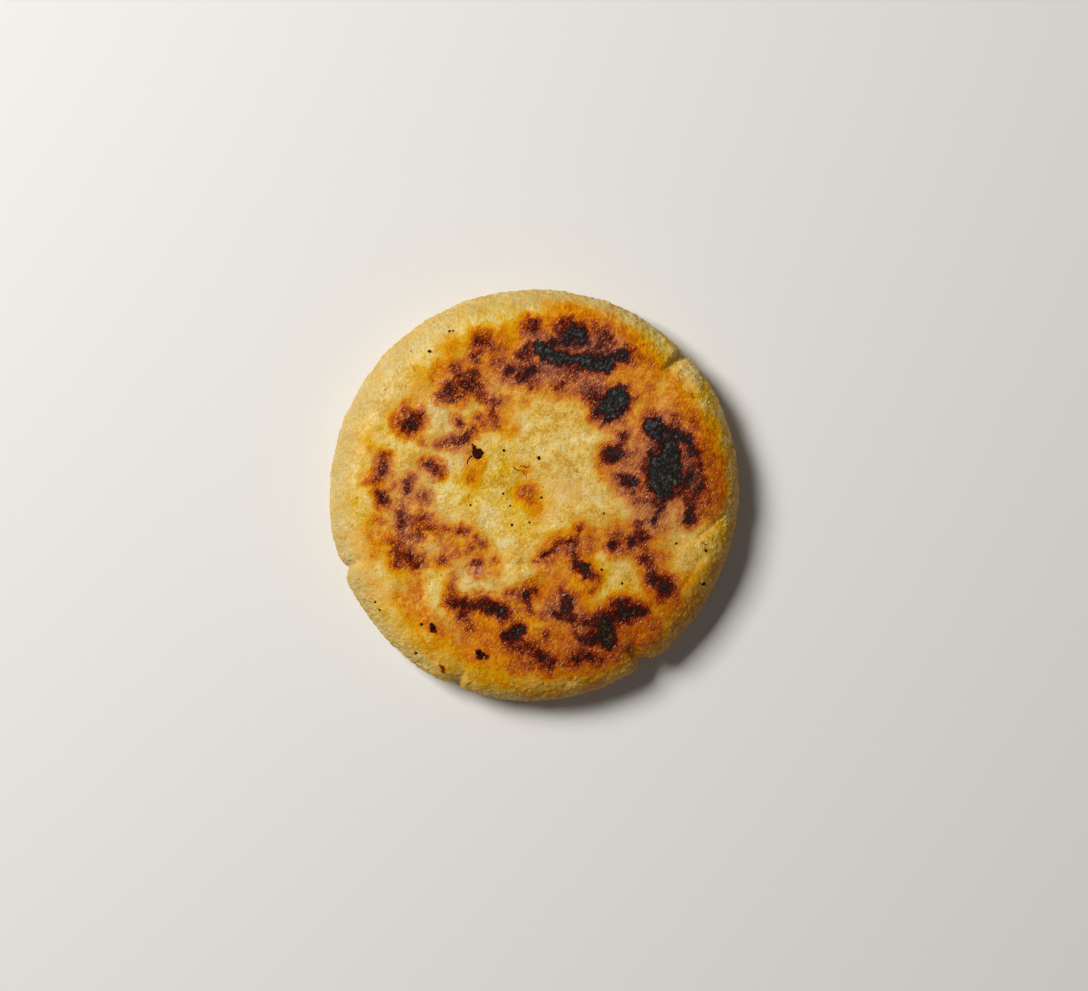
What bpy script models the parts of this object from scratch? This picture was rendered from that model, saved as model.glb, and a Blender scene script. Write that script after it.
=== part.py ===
"""A griddled arepa: one round, hand-patted corn cake.

It lies on its flat underside. Its rim is rounded and a little uneven, with splits where the dough
cracked as it was patted out. Its top is slightly dished and has soft dents and creases.
The origin is the centre of the underside, +Z points up, and +Y is twelve o'clock seen from above.
"""

import math
from collections import namedtuple

import bmesh
import bpy
from mathutils import Vector, noise

MM = 0.001

# Driving dimensions
RADIUS = 52 * MM
THICKNESS = 16 * MM
WIDEST_HEIGHT = 7.2 * MM  # the dough sags, so the rim is widest below its middle
TOP_SHOULDER = 9.5 * MM  # how far in from the widest line the top levels out
FOOT_SHOULDER = 6.5 * MM
FOOT_REACH = RADIUS - FOOT_SHOULDER  # how far out the flat underside goes
SHOULDER_FULLNESS = 0.9  # below 1 the top's shoulder is fuller than a quarter ellipse
DISH_DEPTH = 0.7 * MM  # how far the middle of the top lies below its rise
RISE_RADIUS = 34 * MM  # where the top is highest

# Mesh fineness
SPOKES = 164
FLAT_RINGS = 9
SHOULDER_STEPS = 6
FOOT_RINGS = 4
WELD = 0.01 * MM
SPLIT_CROWDING = 5.0  # how many times closer the spokes stand at a split
SPLIT_CROWDING_WIDTH = math.radians(3)
CROWDING_STEPS = 3600  # how finely the crowding is added up round the cake

# The outline's slow waves: waves per turn, height, and the angle of a crest
Wave = namedtuple("Wave", "per_turn height crest")
OUTLINE_WAVES = (
    Wave(1, 0.30 * MM, 150),
    Wave(2, 0.45 * MM, 55),
    Wave(3, 0.22 * MM, 20),
    Wave(9, 0.07 * MM, 33),
    Wave(14, 0.05 * MM, 8),
)
WAVES_START = 0.5 * RADIUS  # the waves and splits fade out towards this distance from the axis

# Splits in the rim. The mouth opens by `before` on the clockwise side and by `after` on the other.
# `run` is how far a split reaches in from the rim over the top, and `sink` is its depth there.
# `lean` is how far its line drifts round the rim from the widest height up to the top.
Split = namedtuple("Split", "angle depth before after run sink lean")
SPLITS = (
    Split(43.6, 2.4 * MM, 2.6 * MM, 1.4 * MM, 9 * MM, 1.3 * MM, 0.5 * MM),
    Split(201.4, 1.9 * MM, 3.2 * MM, 2.2 * MM, 6 * MM, 0.7 * MM, -0.6 * MM),
    Split(248.2, 1.7 * MM, 4.4 * MM, 0.9 * MM, 6 * MM, 0.9 * MM, 0.4 * MM),
    Split(303.2, 2.4 * MM, 2.8 * MM, 2.6 * MM, 9 * MM, 1.6 * MM, -0.5 * MM),
    Split(355.0, 0.5 * MM, 1.6 * MM, 1.2 * MM, 5 * MM, 0.3 * MM, 0.7 * MM),
    Split(9.0, 0.5 * MM, 1.4 * MM, 1.6 * MM, 4 * MM, 0.2 * MM, -0.3 * MM),
)
SPLIT_SHARPNESS = 1.5  # above 1 the sides of the mouth curve in towards its line
SPLIT_FULL = 0.25  # the outer share of a split's run over which it has its whole depth
SPLIT_AT_FOOT = 0.35  # the share of its depth that a split keeps at the underside

# Creases and dents in the top, from one end to the other. A negative sink is a low ridge.
Dent = namedtuple("Dent", "start end half_width sink")
DENTS = (
    Dent((-4, 1), (-1, -1), 8.0 * MM, 0.55 * MM),  # the thumb print in the middle
    Dent((50, -5), (40, -10), 1.8 * MM, 0.55 * MM),  # fold in the right of the rim
    Dent((-12, -16), (6, -14), 1.8 * MM, 0.35 * MM),  # crease under the middle
    Dent((-13, -20), (-4, -19), 3.0 * MM, -0.30 * MM),
    Dent((-29, -19), (-28, -30), 1.8 * MM, 0.35 * MM),  # fold at the lower left
    Dent((-24, -21), (-23, -28), 3.0 * MM, -0.30 * MM),
    Dent((32, 37), (37, 30), 3.0 * MM, 0.45 * MM),  # hollow beside the upper right split
    Dent((38, 33), (42, 28), 3.5 * MM, -0.35 * MM),
    Dent((24, -40), (28, -37), 3.0 * MM, 0.50 * MM),  # hollow beside the lower right split
)
DENTS_FROM = 0.35 * THICKNESS  # dents and swell fade in from this height
DENTS_FULL = 0.9 * THICKNESS  # and are whole from this one
SWELL_SIZE = 13 * MM  # the soft unevenness that patting by hand leaves
SWELL_HEIGHT = 0.45 * MM
SIDE_SWELL_HEIGHT = 0.8 * MM  # the same on the side, in and out
SIDE_START = 0.85 * RADIUS

CORN_YELLOW = (0.80, 0.56, 0.20, 1.0)
CRUST_ROUGHNESS = 0.6


def smoothstep(low, high, value):
    share = min(1.0, max(0.0, (value - low) / (high - low)))
    return share * share * (3 - 2 * share)


def clear_scene():
    for old in list(bpy.data.objects):
        bpy.data.objects.remove(old)


def top_points():
    """The dished top in section, from its middle to where the shoulder starts."""
    points = []
    for ring in range(FLAT_RINGS):
        reach = (RADIUS - TOP_SHOULDER) * ring / FLAT_RINGS
        away = (reach - RISE_RADIUS) / RISE_RADIUS
        points.append((reach, THICKNESS - DISH_DEPTH * away * away))
    return points


def rim_points():
    """The rounded rim in section: up to its widest line and on down to the foot."""
    points = []
    for step in range(SHOULDER_STEPS + 1):
        turn = math.pi / 2 * step / SHOULDER_STEPS
        reach = RADIUS - TOP_SHOULDER * (1 - math.sin(turn))
        fall = abs(math.cos(turn)) ** SHOULDER_FULLNESS
        points.append((reach, WIDEST_HEIGHT + (THICKNESS - WIDEST_HEIGHT) * fall))
    for step in range(1, SHOULDER_STEPS + 1):
        turn = math.pi / 2 * step / SHOULDER_STEPS
        reach = FOOT_REACH + FOOT_SHOULDER * math.cos(turn)
        points.append((reach, WIDEST_HEIGHT * (1 - math.sin(turn))))
    return points


def underside_points():
    return [(FOOT_REACH * (1 - ring / FOOT_RINGS), 0.0) for ring in range(1, FOOT_RINGS + 1)]


def turned_cake():
    """A bmesh of the section turned once round the Z axis, closed at both poles."""
    cake = bmesh.new()
    section = top_points() + rim_points() + underside_points()
    corners = [cake.verts.new((reach, 0, height)) for reach, height in section]
    edges = [cake.edges.new(pair) for pair in zip(corners, corners[1:])]
    bmesh.ops.spin(
        cake,
        geom=corners + edges,
        cent=(0, 0, 0),
        axis=(0, 0, 1),
        angle=math.tau,
        steps=SPOKES,
        use_merge=True,
    )
    bmesh.ops.remove_doubles(cake, verts=cake.verts, dist=WELD)
    return cake


def gap_between(angle, other):
    """The signed turn from one angle to another, between -pi and pi."""
    return (angle - other + math.pi) % math.tau - math.pi


def crowding_at(angle):
    """How many times closer than elsewhere the spokes stand at this angle."""
    crowd = 1.0
    for split in SPLITS:
        gap = gap_between(angle, math.radians(split.angle))
        crowd += (SPLIT_CROWDING - 1) * math.exp(-((gap / SPLIT_CROWDING_WIDTH) ** 2))
    return crowd


def crowded_angles():
    """The angle of each spoke, with the spokes closer together at the splits."""
    steps = [math.tau * step / CROWDING_STEPS for step in range(CROWDING_STEPS)]
    crowding = [crowding_at(angle) for angle in steps]
    share = sum(crowding) / SPOKES
    angles = []
    passed = 0.0
    for angle, crowd in zip(steps, crowding):
        while passed >= share * len(angles) and len(angles) < SPOKES:
            angles.append(angle)
        passed += crowd
    return angles


def split_shape(split, angle, reach, height):
    """How much of a split is felt here: 1 along its line, 0 past its mouth, less near the foot."""
    drift = split.lean * (height - WIDEST_HEIGHT) / (THICKNESS - WIDEST_HEIGHT)
    along = gap_between(angle, math.radians(split.angle)) * max(reach, WAVES_START) - drift
    side = split.after if along > 0 else split.before
    mouth = max(0.0, 1 - abs(along) / side) ** SPLIT_SHARPNESS
    run = smoothstep(RADIUS - split.run, RADIUS - SPLIT_FULL * split.run, reach)
    if height < WIDEST_HEIGHT:
        run = 1.0 if reach > FOOT_REACH - WELD else 0.0
    rise = smoothstep(0, WIDEST_HEIGHT, height)
    return mouth * run * (SPLIT_AT_FOOT + (1 - SPLIT_AT_FOOT) * rise)


def outline_wave(angle):
    return sum(
        wave.height * math.cos(wave.per_turn * (angle - math.radians(wave.crest)))
        for wave in OUTLINE_WAVES
    )


def dent_depth(dent, place):
    """A dent's depth under a point of the top, fading out across it and past its ends."""
    start = Vector(dent.start) * MM
    line = Vector(dent.end) * MM - start
    along = (place - start).dot(line) / line.length_squared
    nearest = start + line * min(1.0, max(0.0, along))
    return dent.sink * math.exp(-(((place - nearest).length / dent.half_width) ** 2))


def side_swell(angle, height):
    """The side's soft unevenness above and below its widest line, which keeps its outline."""
    rim = Vector((RADIUS * math.cos(angle), RADIUS * math.sin(angle), height))
    widest = Vector((rim.x, rim.y, WIDEST_HEIGHT))
    return SIDE_SWELL_HEIGHT * (noise.noise(rim / SWELL_SIZE) - noise.noise(widest / SWELL_SIZE))


def place_on_cake(angle, reach, height):
    """Where a point of the turned section lies on the real, uneven cake."""
    top_share = smoothstep(DENTS_FROM, DENTS_FULL, height)
    felt = [split_shape(split, angle, reach, height) for split in SPLITS]
    away = reach + outline_wave(angle) * smoothstep(WAVES_START, RADIUS, reach)
    away += side_swell(angle, height) * smoothstep(SIDE_START, RADIUS, reach)
    away -= sum(split.depth * share for split, share in zip(SPLITS, felt))
    across = Vector((away * math.cos(angle), away * math.sin(angle)))
    sunk = sum(split.sink * share for split, share in zip(SPLITS, felt))
    sunk += sum(dent_depth(dent, across) for dent in DENTS)
    swell = SWELL_HEIGHT * noise.noise(Vector((across.x, across.y, 0)) / SWELL_SIZE)
    return Vector((across.x, across.y, height + (swell - sunk) * top_share))


def shape_by_hand(cake):
    """Moves every point of the turned cake to where patting, splitting and griddling leave it."""
    angles = crowded_angles()
    for corner in cake.verts:
        reach = math.hypot(corner.co.x, corner.co.y)
        turn = math.atan2(corner.co.y, corner.co.x) % math.tau
        spoke = round(turn / math.tau * SPOKES) % SPOKES
        angle = angles[spoke] if reach > WELD else 0.0
        corner.co = place_on_cake(angle, reach, corner.co.z)


def centre_on_axis(cake):
    """Slides the cake level until its box is centred on the Z axis."""
    across = [corner.co.x for corner in cake.verts]
    along = [corner.co.y for corner in cake.verts]
    off = Vector(((min(across) + max(across)) / 2, (min(along) + max(along)) / 2, 0))
    bmesh.ops.translate(cake, verts=cake.verts, vec=-off)


def corn_dough():
    material = bpy.data.materials.new("griddled_corn_dough")
    material.use_nodes = True
    shader = material.node_tree.nodes["Principled BSDF"]
    shader.inputs["Base Color"].default_value = CORN_YELLOW
    shader.inputs["Roughness"].default_value = CRUST_ROUGHNESS
    shader.inputs["Metallic"].default_value = 0.0
    return material


def make_arepa():
    cake = turned_cake()
    shape_by_hand(cake)
    centre_on_axis(cake)
    bmesh.ops.recalc_face_normals(cake, faces=cake.faces)
    mesh = bpy.data.meshes.new("arepa")
    cake.to_mesh(mesh)
    cake.free()
    mesh.shade_smooth()
    mesh.materials.append(corn_dough())
    arepa = bpy.data.objects.new("arepa", mesh)
    bpy.context.scene.collection.objects.link(arepa)


clear_scene()
make_arepa()
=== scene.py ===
import math

import bpy
import numpy as np
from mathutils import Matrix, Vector
from mathutils.bvhtree import BVHTree


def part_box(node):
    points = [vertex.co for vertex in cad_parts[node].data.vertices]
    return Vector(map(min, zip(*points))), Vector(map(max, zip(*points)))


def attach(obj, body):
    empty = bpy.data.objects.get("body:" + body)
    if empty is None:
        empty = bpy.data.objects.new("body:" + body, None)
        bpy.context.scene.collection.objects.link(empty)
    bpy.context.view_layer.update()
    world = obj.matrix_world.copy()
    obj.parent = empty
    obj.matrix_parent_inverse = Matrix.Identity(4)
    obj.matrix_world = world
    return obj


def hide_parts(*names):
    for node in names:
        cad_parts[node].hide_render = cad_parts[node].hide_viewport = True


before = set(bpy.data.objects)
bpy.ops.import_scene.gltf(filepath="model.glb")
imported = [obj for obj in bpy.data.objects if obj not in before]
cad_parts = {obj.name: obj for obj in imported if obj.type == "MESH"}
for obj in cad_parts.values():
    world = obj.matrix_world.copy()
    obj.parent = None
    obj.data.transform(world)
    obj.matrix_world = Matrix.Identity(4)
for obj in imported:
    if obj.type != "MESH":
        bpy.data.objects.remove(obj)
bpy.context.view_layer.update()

mm = 0.001
cakeLow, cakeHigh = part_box("arepa")
cakeMiddle = (cakeLow + cakeHigh) / 2
cakeRadius = (cakeHigh.x - cakeLow.x) / 2
cakeHeight = cakeHigh.z


def selectOnly(piece):
    bpy.ops.object.select_all(action="DESELECT")
    piece.select_set(True)
    bpy.context.view_layer.objects.active = piece


def applyModifier(piece, kind, **settings):
    selectOnly(piece)
    modifier = piece.modifiers.new(kind.lower(), kind)
    for name, value in settings.items():
        setattr(modifier, name, value)
    bpy.ops.object.modifier_apply(modifier=modifier.name)


def smooth(low, high, value):
    share = np.clip((value - low) / (high - low), 0, 1)
    return share * share * (3 - 2 * share)


def pointsOf(mesh):
    places = np.zeros(len(mesh.vertices) * 3)
    mesh.vertices.foreach_get("co", places)
    return places.reshape(-1, 3)


def normalsOf(mesh):
    directions = np.zeros(len(mesh.vertices) * 3)
    mesh.vertex_normals.foreach_get("vector", directions)
    return directions.reshape(-1, 3)


def setPoints(mesh, places):
    mesh.vertices.foreach_set("co", places.astype(np.float32).ravel())
    mesh.update()


def paintPoints(mesh, name, values):
    layer = mesh.attributes.new(name, "FLOAT", "POINT")
    layer.data.foreach_set("value", values.astype(np.float32))


noiseTable = np.random.default_rng(11)
noiseOrder = np.tile(noiseTable.permutation(256), 3)
noiseSlopes = noiseTable.normal(size=(256, 3))
noiseSlopes /= np.linalg.norm(noiseSlopes, axis=1)[:, None]
noiseSpots = noiseTable.random((256, 3))


def pickAt(cells, table):
    # the table's row for each cell of an endless grid
    x, y, z = (cells % 256).T
    return table[noiseOrder[noiseOrder[noiseOrder[x] + y] + z]]


def noiseAt(places, size, shift=0.0):
    # soft unevenness, about -1 to 1, with bumps of about this size
    spots = places / size + shift * 7.3
    cells = np.floor(spots).astype(int)
    part = spots - cells
    fade = part ** 3 * (part * (part * 6 - 15) + 10)
    total = np.zeros(len(places))
    for corner in ((x, y, z) for x in (0, 1) for y in (0, 1) for z in (0, 1)):
        weight = np.prod(np.where(corner, fade, 1 - fade), axis=1)
        total += weight * np.sum(pickAt(cells + corner, noiseSlopes) * (part - corner), axis=1)
    return total * 1.7


def driftAt(places, size, shift=0.0):
    return np.stack([noiseAt(places, size, shift + 1.7 * axis) for axis in range(3)], axis=1)


def grainAt(places, size, shift=0.0):
    # rounded grains: how far each place is from the middle of its grain, and from the next grain
    spots = places / size + shift * 5.1
    cells = np.floor(spots).astype(int)
    nearest = np.full(len(places), 9.0)
    second = np.full(len(places), 9.0)
    for step in ((x, y, z) for x in (-1, 0, 1) for y in (-1, 0, 1) for z in (-1, 0, 1)):
        there = cells + step
        away = np.linalg.norm(there + pickAt(there, noiseSpots) - spots, axis=1)
        second = np.minimum(second, np.maximum(nearest, away))
        nearest = np.minimum(nearest, away)
    return nearest, second - nearest


class Flow:
    # a shader socket that adds, subtracts and multiplies as plain numbers do
    def __init__(self, socket):
        self.socket = socket

    def math(self, operation, first, second, clamp=False):
        settings = {"operation": operation, "use_clamp": clamp}
        return addNode(self.socket.id_data, "ShaderNodeMath", settings, {0: first, 1: second})

    def __add__(self, other):
        return self.math("ADD", self, other)

    def __radd__(self, other):
        return self.math("ADD", other, self)

    def __sub__(self, other):
        return self.math("SUBTRACT", self, other)

    def __rsub__(self, other):
        return self.math("SUBTRACT", other, self)

    def __mul__(self, other):
        return self.math("MULTIPLY", self, other)

    def __rmul__(self, other):
        return self.math("MULTIPLY", other, self)

    def held(self):
        return self.math("ADD", self, 0.0, clamp=True)

    def between(self, low, high):
        inputs = {"Value": self, "From Min": low, "From Max": high}
        settings = {"interpolation_type": "SMOOTHSTEP"}
        return addNode(self.socket.id_data, "ShaderNodeMapRange", settings, inputs)


def addNode(tree, kind, settings=None, inputs=None, output=0):
    node = tree.nodes.new(kind)
    for name, value in (settings or {}).items():
        if name == "stops":
            setStops(node.color_ramp, value)
        else:
            setattr(node, name, value)
    for name, value in (inputs or {}).items():
        if isinstance(value, Flow):
            tree.links.new(value.socket, node.inputs[name])
        else:
            node.inputs[name].default_value = value
    return Flow(node.outputs[output])


def setStops(ramp, stops):
    while len(ramp.elements) > 1:
        ramp.elements.remove(ramp.elements[0])
    for index, (place, colour) in enumerate(stops):
        element = ramp.elements[0] if index == 0 else ramp.elements.new(place)
        element.position = place
        element.color = colour


def linear(red, green, blue):
    # a colour as seen on a screen, from 0 to 255, as the shader wants it
    def one(level):
        level /= 255
        return level / 12.92 if level < 0.04045 else ((level + 0.055) / 1.055) ** 2.4

    return (one(red), one(green), one(blue), 1.0)


def newFinish(name):
    material = bpy.data.materials.new(name)
    material.use_nodes = True
    tree = material.node_tree
    shader = tree.nodes["Principled BSDF"]
    coordinates = addNode(tree, "ShaderNodeTexCoord", output=3)
    return material, tree, shader, coordinates


def painted(tree, name):
    # what paintPoints wrote on the mesh
    return addNode(tree, "ShaderNodeAttribute", {"attribute_name": name}, output=2)


def grainOf(tree, coordinates, size, detail=2.0, roughness=0.5):
    inputs = {"Vector": coordinates, "Scale": 1 / size, "Detail": detail, "Roughness": roughness}
    return addNode(tree, "ShaderNodeTexNoise", None, inputs)


def mixColours(tree, share, first, second, blend="MIX"):
    settings = {"data_type": "RGBA", "blend_type": blend}
    return addNode(tree, "ShaderNodeMix", settings, {0: share, 6: first, 7: second}, output=2)


def feed(tree, shader, **sockets):
    for name, value in sockets.items():
        socket = shader.inputs[name.replace("_", " ")]
        if isinstance(value, Flow):
            tree.links.new(value.socket, socket)
        else:
            socket.default_value = value


# The griddle's marks on the top, in millimetres from the cake's middle, for a cake 104 wide.
# A spot is (x, y, half width, heat). A streak is (x, y, to x, to y, half width, heat).
# Heat is 0 for bare dough, 0.3 golden, 0.5 red brown, 0.65 dark maroon, 0.8 nearly black, 1 charred.

markedRadius = 51.84

griddleMarks = {
    "top band": [
        (-4.8, 35.9, -2, 37.4, 1.2, 0.64), (-2.6, 38.4, 0, 38.8, 1.2, 0.68),
        (0.6, 38, 2.6, 36.8, 1.7, 1), (2.4, 36.4, 5.4, 35.8, 1.2, 0.98),
        (5.4, 35.8, 11.4, 35.6, 1.2, 0.96), (4.4, 34.2, 9, 33.4, 1.2, 0.62),
        (13, 35.1, 18, 34.3, 2, 1), (18, 35, 22, 36.3, 1.4, 0.96), (22, 36.4, 23.8, 36.6, 1.1, 0.68),
        (22.3, 38.2, 0.7, 0.6), (24.2, 34.8, 1.1, 0.54), (9.2, 31.9, 0.8, 0.58),
        (10.4, 33.6, 12.6, 33.8, 1.2, 0.7), (7.6, 43.2, 8.6, 42.4, 2.6, 0.68), (8.4, 42.2, 1.6, 0.78),
        (3.4, 39.2, 9.4, 39.8, 1.3, 0.78), (11, 42.4, 11.8, 40.2, 1.5, 0.96),
        (15, 42.4, 18.6, 39.8, 1.8, 0.56), (18.6, 40.4, 0.9, 0.7), (15.6, 38.6, 18, 38.1, 1, 0.64),
        (-1.2, 43.8, 1.7, 0.68), (-3.6, 41.3, 0.7, 0.5), (6, 38.2, 9.6, 38, 1.6, 0.42),
        (14.4, 37.4, 20, 37, 1, 0.5), (0, 36, 1.6, 33.6, 1.2, 0.46),
    ],
    "under the band": [
        (-7.2, 32, 1.6, 0.76), (-4.6, 30.6, -1.4, 32, 1.7, 0.72), (-2.2, 30, -0.9, 29.2, 1.1, 0.68),
        (-0.5, 31.6, 0.9, 0.68), (-4.8, 33, -3, 34.6, 1.1, 0.54), (6.1, 28.2, 1.3, 0.66),
        (4, 28.7, 5, 28.4, 0.6, 0.5), (2, 32.6, 6.4, 31.6, 1.2, 0.4), (7.4, 26.6, 0.7, 0.44),
    ],
    "upper left": [
        (-12.4, 41.6, 0.6, 0.52), (-15.2, 40.5, 0.7, 0.48), (-14.3, 39.8, -15.1, 36, 1.5, 0.64),
        (-12.7, 40.4, -12.6, 38.6, 0.8, 0.56), (-11.8, 38.1, -9.4, 37.8, 1, 0.52),
        (-15, 34.4, 0.8, 0.52), (-11.6, 33.9, -9.6, 34, 0.9, 0.5), (-21, 26.8, -16.8, 30.4, 2.7, 0.6),
        (-24.2, 25.8, -21.6, 26.8, 1, 0.66), (-20.4, 32.2, -18.4, 31.6, 1.4, 0.56),
        (-16.8, 29.5, -14.4, 28.2, 1.1, 0.62), (-15.2, 26.3, -13.8, 25.8, 1, 0.54),
        (-18.5, 25.6, 1.2, 0.6), (-17.6, 28.6, 1.3, 0.68), (-12.6, 25.2, -9.4, 24.5, 1, 0.6),
        (-10.6, 24.3, 0.8, 0.7), (-11.2, 22.4, -10.6, 19.4, 1.1, 0.62), (-10, 18, 0.8, 0.46),
        (-32.6, 18, -30.4, 19.9, 1.8, 0.74), (-35, 20, -34.2, 18.8, 1.1, 0.5), (-32.9, 22.2, 1.2, 0.54),
        (-31.6, 18.6, 1.2, 0.78), (-29.4, 20.4, 1.2, 0.6), (-19.9, 19.4, -19.4, 18.2, 1, 0.62),
        (-21.2, 14.1, -18.6, 15.1, 1.3, 0.64), (-22.4, 13.9, 0.8, 0.64),
        (-17.4, 16, -16, 17.1, 1, 0.57), (-25.2, 14, -23.8, 13.9, 0.7, 0.48), (-28.5, 14.2, 1, 0.42),
        (-14.4, 20.4, -13.2, 19, 0.9, 0.48), (-25, 33, -26, 30, 1.2, 0.24),
    ],
    "left": [
        (-38.6, 9.8, -39.2, 6.6, 1.25, 0.66), (-39.5, 5, -41, 4.2, 1.1, 0.48), (-43.5, 3.7, 0.9, 0.4),
        (-28.6, 8.6, -27.4, 8.2, 0.7, 0.6), (-27, 7.9, -25.4, 6.7, 1.4, 0.7), (-24.8, 6, 0.8, 0.5),
        (-36.1, 3.1, 0.6, 0.58), (-32.2, 4, -32.8, 1.6, 1.15, 0.66), (-39.8, 0.5, 1, 0.62),
        (-38.9, -0.9, 1.3, 0.74), (-28.4, 0, 0.9, 0.7), (-29.3, 0.7, 0.6, 0.5),
        (-34.2, -1.6, -34.5, -4, 0.9, 0.56), (-34.4, -4.8, -33.7, -10, 1.2, 0.62),
        (-32, -5.4, -27.4, -5.2, 1, 0.54), (-31.4, -7, -25, -8, 1.3, 0.5),
        (-32, -10.3, -29.4, -9.2, 1, 0.54), (-29.3, -6, 0.6, 0.6), (-23.5, -7.8, -22, -8.5, 0.8, 0.42),
        (-37.4, -11, -33.6, -12.4, 1, 0.48), (-35.4, -13, -35.2, -17, 1.1, 0.52), (-36, -14, 0.7, 0.64),
        (-36.2, -16.8, 0.7, 0.62), (-33, -12.2, -32.7, -14.4, 1.1, 0.62),
        (-32.4, -16, -30.4, -16.4, 1.3, 0.72), (-24.1, -15.8, 1.2, 0.6),
        (-23.2, -14.6, -20.6, -14.4, 0.8, 0.42), (-19.6, -8.4, -17.8, -8.7, 0.8, 0.57),
        (-16.7, -12.7, 0.8, 0.68), (-15.4, -10.7, 0.6, 0.56), (-14, -11.8, 0.8, 0.56),
        (-14.3, -13.2, 0.6, 0.44), (-15.3, -17.2, 1.3, 0.62), (-15, -18.8, 0.6, 0.36),
        (-10.9, -15.6, 0.6, 0.46), (-40, -6, 1.4, 0.32),
    ],
    "middle": [
        (-2, 0.9, 1.3, 0.46), (-2.6, 1.6, -1.2, -0.6, 0.5, 0.5), (-3.2, 6.2, -1.6, 6.6, 0.6, 0.2),
        (-16.2, 4.4, 0.7, 0.5), (-16.8, 7.6, -16.6, 6.6, 0.5, 0.22),
    ],
    "lower middle": [
        (0.3, -16, 1.6, -15.5, 0.5, 0.58), (2.2, -14.7, 4.2, -13.7, 1, 0.72),
        (4.3, -13, 6, -12, 0.6, 0.6), (6.4, -11.6, 9.4, -10.9, 0.8, 0.64),
        (9.2, -13.6, 9.4, -11.2, 0.9, 0.62), (10, -11, 11.3, -8, 0.5, 0.58),
        (11.3, -8, 11.4, -6.8, 0.4, 0.54), (9.3, -14.4, 10.4, -16.4, 1, 0.64),
        (10.8, -17, 12.8, -18.8, 1.4, 0.78), (13, -19.5, 15.2, -19.8, 0.8, 0.72),
        (19.8, -11.9, 1.5, 0.78), (20.5, -9.3, 0.8, 0.66), (24, -11, 26.6, -10.1, 1.5, 0.76),
        (26.3, -6.8, 1.2, 0.68), (24.6, -12.6, 0.7, 0.54), (27.4, -16, 28.4, -15.6, 1.4, 0.7),
        (27.7, -13.8, 0.7, 0.52), (28.8, -18, 0.8, 0.52), (32.5, -15.3, 0.6, 0.5),
        (30.2, -20.8, 32.8, -22.8, 2.1, 0.76), (32, -22.6, 1, 0.84), (34.4, -21, 0.9, 0.58),
        (31.8, -25, 1.3, 0.6),
    ],
    "upper right": [
        (19.4, 23.4, 20.9, 25.4, 2.9, 1), (16.4, 22, 18, 20.8, 1.7, 0.84),
        (13.8, 26.4, 16.6, 24.6, 2.1, 0.6), (13.2, 29, 15, 28.4, 1.3, 0.48), (24.3, 25.6, 0.9, 0.6),
    ],
    "right": [
        (30.2, 17.9, 2.6, 1), (33, 16.2, 36, 16.4, 1.4, 0.82), (30.8, 14.2, 1.4, 0.68),
        (33.6, 14, 34, 11, 2.3, 1), (32, 10.5, 31.8, 5, 2.6, 1), (34.6, 10, 34.5, 6, 2.3, 1),
        (32.6, 4, 33, 2.2, 2.3, 1), (35.4, 4.6, 37.6, 4.2, 1.7, 0.92), (28, 9.4, 27.6, 7.4, 1.1, 0.6),
        (29, 7, 29.2, 3, 1.4, 0.7), (36.6, 16, 38.8, 14.3, 1.3, 0.86),
        (38.8, 14.4, 40.8, 11.6, 1.2, 0.84), (37.4, 11.6, 38.8, 8, 1.6, 0.46),
        (41, 8, 41.7, 3, 1.6, 0.64), (41.4, 2.6, 40.6, 0.4, 1.3, 0.66), (39, 6.6, 38.6, 4.4, 1.1, 0.76),
        (36, 1.6, 40, 1, 1.3, 0.68), (43.6, 8.6, 44.7, 10.4, 0.8, 0.5), (43, 1, 43.4, -1, 1, 0.5),
        (30.6, -1.4, 34, 0.6, 1.1, 0.66), (32.4, -2, 30.4, -5, 0.75, 0.84), (30.1, -6, 0.8, 0.88),
        (39.4, -1.8, 39, -5.2, 1.3, 0.86), (39.6, -0.4, 1, 0.64), (28.6, -1, 27, 0, 1.2, 0.5),
        (18.9, 11, 21, 11.2, 2, 0.82), (21.8, 13.2, 22.8, 15.8, 1.1, 0.74),
        (21, 5.4, 22.4, 5, 1, 0.68), (23.1, 4.6, 24.6, 4, 1.6, 0.82), (24.6, 2, 1.2, 0.5),
        (39.8, 19.2, 1, 0.52), (35.2, 20.4, 36, 18.6, 1.2, 0.52), (34.6, 18, 35.4, 17, 1, 0.7),
        (25.8, -0.4, 1, 0.44),
    ],
    "bottom left": [
        (-21.2, -26, -18.6, -27.8, 1.7, 0.68), (-18, -27, -12.6, -26.7, 1.7, 0.66),
        (-12.5, -27.2, -8.6, -28.6, 2, 0.74), (-11, -28, -9, -28.7, 1.1, 0.84), (-7.8, -30, 1, 0.64),
        (-21.5, -22.6, -21, -25, 0.9, 0.56), (-20.8, -19.5, -21.4, -22, 0.7, 0.4),
        (-18.8, -30.4, 1.2, 0.56), (-17.6, -31.4, -16.4, -33.2, 1, 0.57),
        (-3, -24.4, -1.4, -23.6, 1.1, 0.82), (-0.5, -22.6, 0.7, 0.6), (-8, -24, -5.6, -24, 0.6, 0.5),
        (-2.2, -26, -2, -28.2, 0.8, 0.57), (-1, -28.8, 2.4, -30, 0.6, 0.57), (8.4, -25.8, 0.8, 0.7),
        (8, -26, 6.6, -29, 1.5, 0.8), (7.6, -29.4, 9.2, -30.7, 1.2, 0.76),
        (3.8, -28.7, 5.2, -29.8, 1.1, 0.66), (9.5, -31, 11.4, -31.5, 1, 0.62),
        (5.7, -22.9, 6.5, -23.6, 0.6, 0.68), (13.5, -24, 14.2, -22.6, 0.4, 0.42),
    ],
    "bottom": [
        (-7, -34.6, -4.7, -33.5, 1.8, 0.8), (-5.2, -31.2, -5, -32.4, 0.9, 0.56),
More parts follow.
